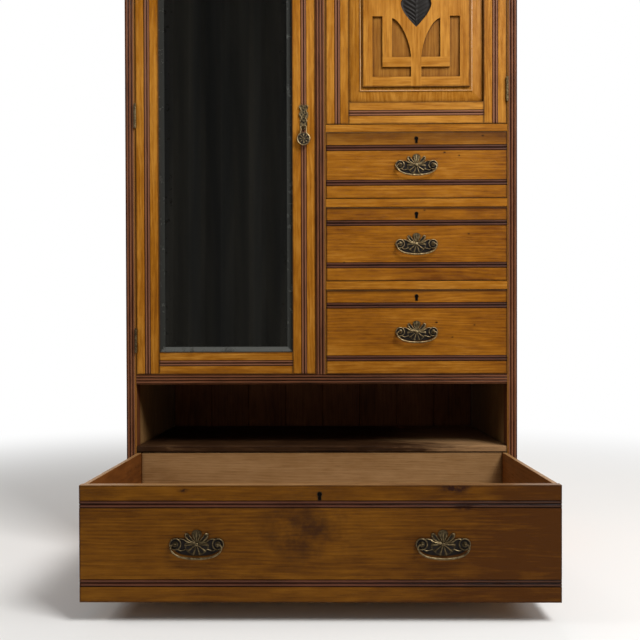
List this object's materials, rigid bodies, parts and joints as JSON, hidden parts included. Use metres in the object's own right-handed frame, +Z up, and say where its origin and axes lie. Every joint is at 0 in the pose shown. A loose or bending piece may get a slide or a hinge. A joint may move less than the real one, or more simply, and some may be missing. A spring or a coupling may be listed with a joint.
{
  "type": "wardrobe",
  "caption": "Tall wooden wardrobe with a mirror door, a fret-panelled cupboard door over short drawers, an open recess and a wide base drawer with brass bail handles.",
  "frame": {"origin": "on the floor, under the middle of the front, at the plane of the posts' front faces", "axes": "+Z up, +X to the right seen from the front, +Y from the front into the wardrobe"},
  "size_m": [1.312, 1.1063, 2.2034],
  "materials": {
    "ash": "waxed orange-brown wood",
    "red_stain": "dark red-brown stained wood",
    "inside": "bare pale brown wood",
    "dark_inside": "dark bare backboards",
    "mirror": "bevelled silvered glass",
    "brass": "aged brass"
  },
  "bodies": {
    "carcass": {"plinth": "red_stain", "left_side": "ash", "right_side": "ash", "left_post": "red_stain", "right_post": "red_stain", "partition": "red_stain", "recess_floor": "inside", "carcass_floor": "red_stain", "top_board": "ash", "cornice": "ash", "back_panel": "dark_inside", "hanging_rail": "brass", "drawer_shelf_1": "ash", "drawer_shelf_2": "ash", "drawer_shelf_3": "ash", "mirror_hinge_1_post": "brass", "mirror_hinge_2_post": "brass", "mirror_hinge_3_post": "brass", "cupboard_hinge_1_post": "brass", "cupboard_hinge_2_post": "brass"},
    "mirror_door": {"mirror_hinge_stile": "ash", "mirror_lock_stile": "ash", "mirror_top_rail": "ash", "mirror_bottom_rail": "ash", "mirror_glass": "mirror", "mirror_back": "inside", "mirror_hinge_1_door": "brass", "mirror_hinge_2_door": "brass", "mirror_hinge_3_door": "brass", "drop_plate": "brass"},
    "mirror_drop": {"drop_ring": "brass"},
    "cupboard_door": {"cupboard_hinge_stile": "ash", "cupboard_lock_stile": "ash", "cupboard_top_rail": "ash", "cupboard_bottom_rail": "ash", "cupboard_panel": "ash", "cupboard_fret": "ash", "cupboard_hinge_1_door": "brass", "cupboard_hinge_2_door": "brass"},
    "drawer_1": {"drawer_1_front": "ash", "drawer_1_box": "inside", "drawer_1_plate": "brass"},
    "drawer_1_handle": {"drawer_1_bail": "brass"},
    "drawer_2": {"drawer_2_front": "ash", "drawer_2_box": "inside", "drawer_2_plate": "brass"},
    "drawer_2_handle": {"drawer_2_bail": "brass"},
    "drawer_3": {"drawer_3_front": "ash", "drawer_3_box": "inside", "drawer_3_plate": "brass"},
    "drawer_3_handle": {"drawer_3_bail": "brass"},
    "base_drawer": {"base_drawer_front": "ash", "base_drawer_left": "inside", "base_drawer_right": "inside", "base_drawer_back": "inside", "base_drawer_bottom": "inside", "base_left_plate": "brass", "base_right_plate": "brass"},
    "base_left_handle": {"base_left_bail": "brass"},
    "base_right_handle": {"base_right_bail": "brass"}
  },
  "joints": [
    {"name": "mirror_door_hinge", "type": "hinge", "parent": "carcass", "child": "mirror_door", "pos_m": [-0.5788, -0.0039, 1.34], "axis": [0, 0, -1], "range_deg": [0, 105]},
    {"name": "mirror_drop_swing", "type": "hinge", "parent": "mirror_door", "child": "mirror_drop", "pos_m": [-0.05275, -0.0113, 1.348], "axis": [-1, 0, 0], "range_deg": [0, 75]},
    {"name": "cupboard_door_hinge", "type": "hinge", "parent": "carcass", "child": "cupboard_door", "pos_m": [0.5788, -0.0039, 1.73], "axis": [0, 0, 1], "range_deg": [0, 105]},
    {"name": "drawer_1_slide", "type": "slide", "parent": "carcass", "child": "drawer_1", "axis": [0, -1, 0], "range_m": [0, 0.36]},
    {"name": "drawer_1_bail_swing", "type": "hinge", "parent": "drawer_1", "child": "drawer_1_handle", "pos_m": [0.29775, -0.0116, 1.22835], "axis": [-1, 0, 0], "range_deg": [0, 80]},
    {"name": "drawer_2_slide", "type": "slide", "parent": "carcass", "child": "drawer_2", "axis": [0, -1, 0], "range_m": [0, 0.36]},
    {"name": "drawer_2_bail_swing", "type": "hinge", "parent": "drawer_2", "child": "drawer_2_handle", "pos_m": [0.29775, -0.0116, 0.9833], "axis": [-1, 0, 0], "range_deg": [0, 80]},
    {"name": "drawer_3_slide", "type": "slide", "parent": "carcass", "child": "drawer_3", "axis": [0, -1, 0], "range_m": [0, 0.36]},
    {"name": "drawer_3_bail_swing", "type": "hinge", "parent": "drawer_3", "child": "drawer_3_handle", "pos_m": [0.29775, -0.0116, 0.71], "axis": [-1, 0, 0], "range_deg": [0, 80]},
    {"name": "base_drawer_slide", "type": "slide", "parent": "carcass", "child": "base_drawer", "axis": [0, -1, 0], "range_m": [-0.52, 0]},
    {"name": "base_left_bail_swing", "type": "hinge", "parent": "base_drawer", "child": "base_left_handle", "pos_m": [-0.295, -0.5316, 0.1925], "axis": [-1, 0, 0], "range_deg": [0, 80]},
    {"name": "base_right_bail_swing", "type": "hinge", "parent": "base_drawer", "child": "base_right_handle", "pos_m": [0.295, -0.5316, 0.1925], "axis": [-1, 0, 0], "range_deg": [0, 80]}
  ]
}
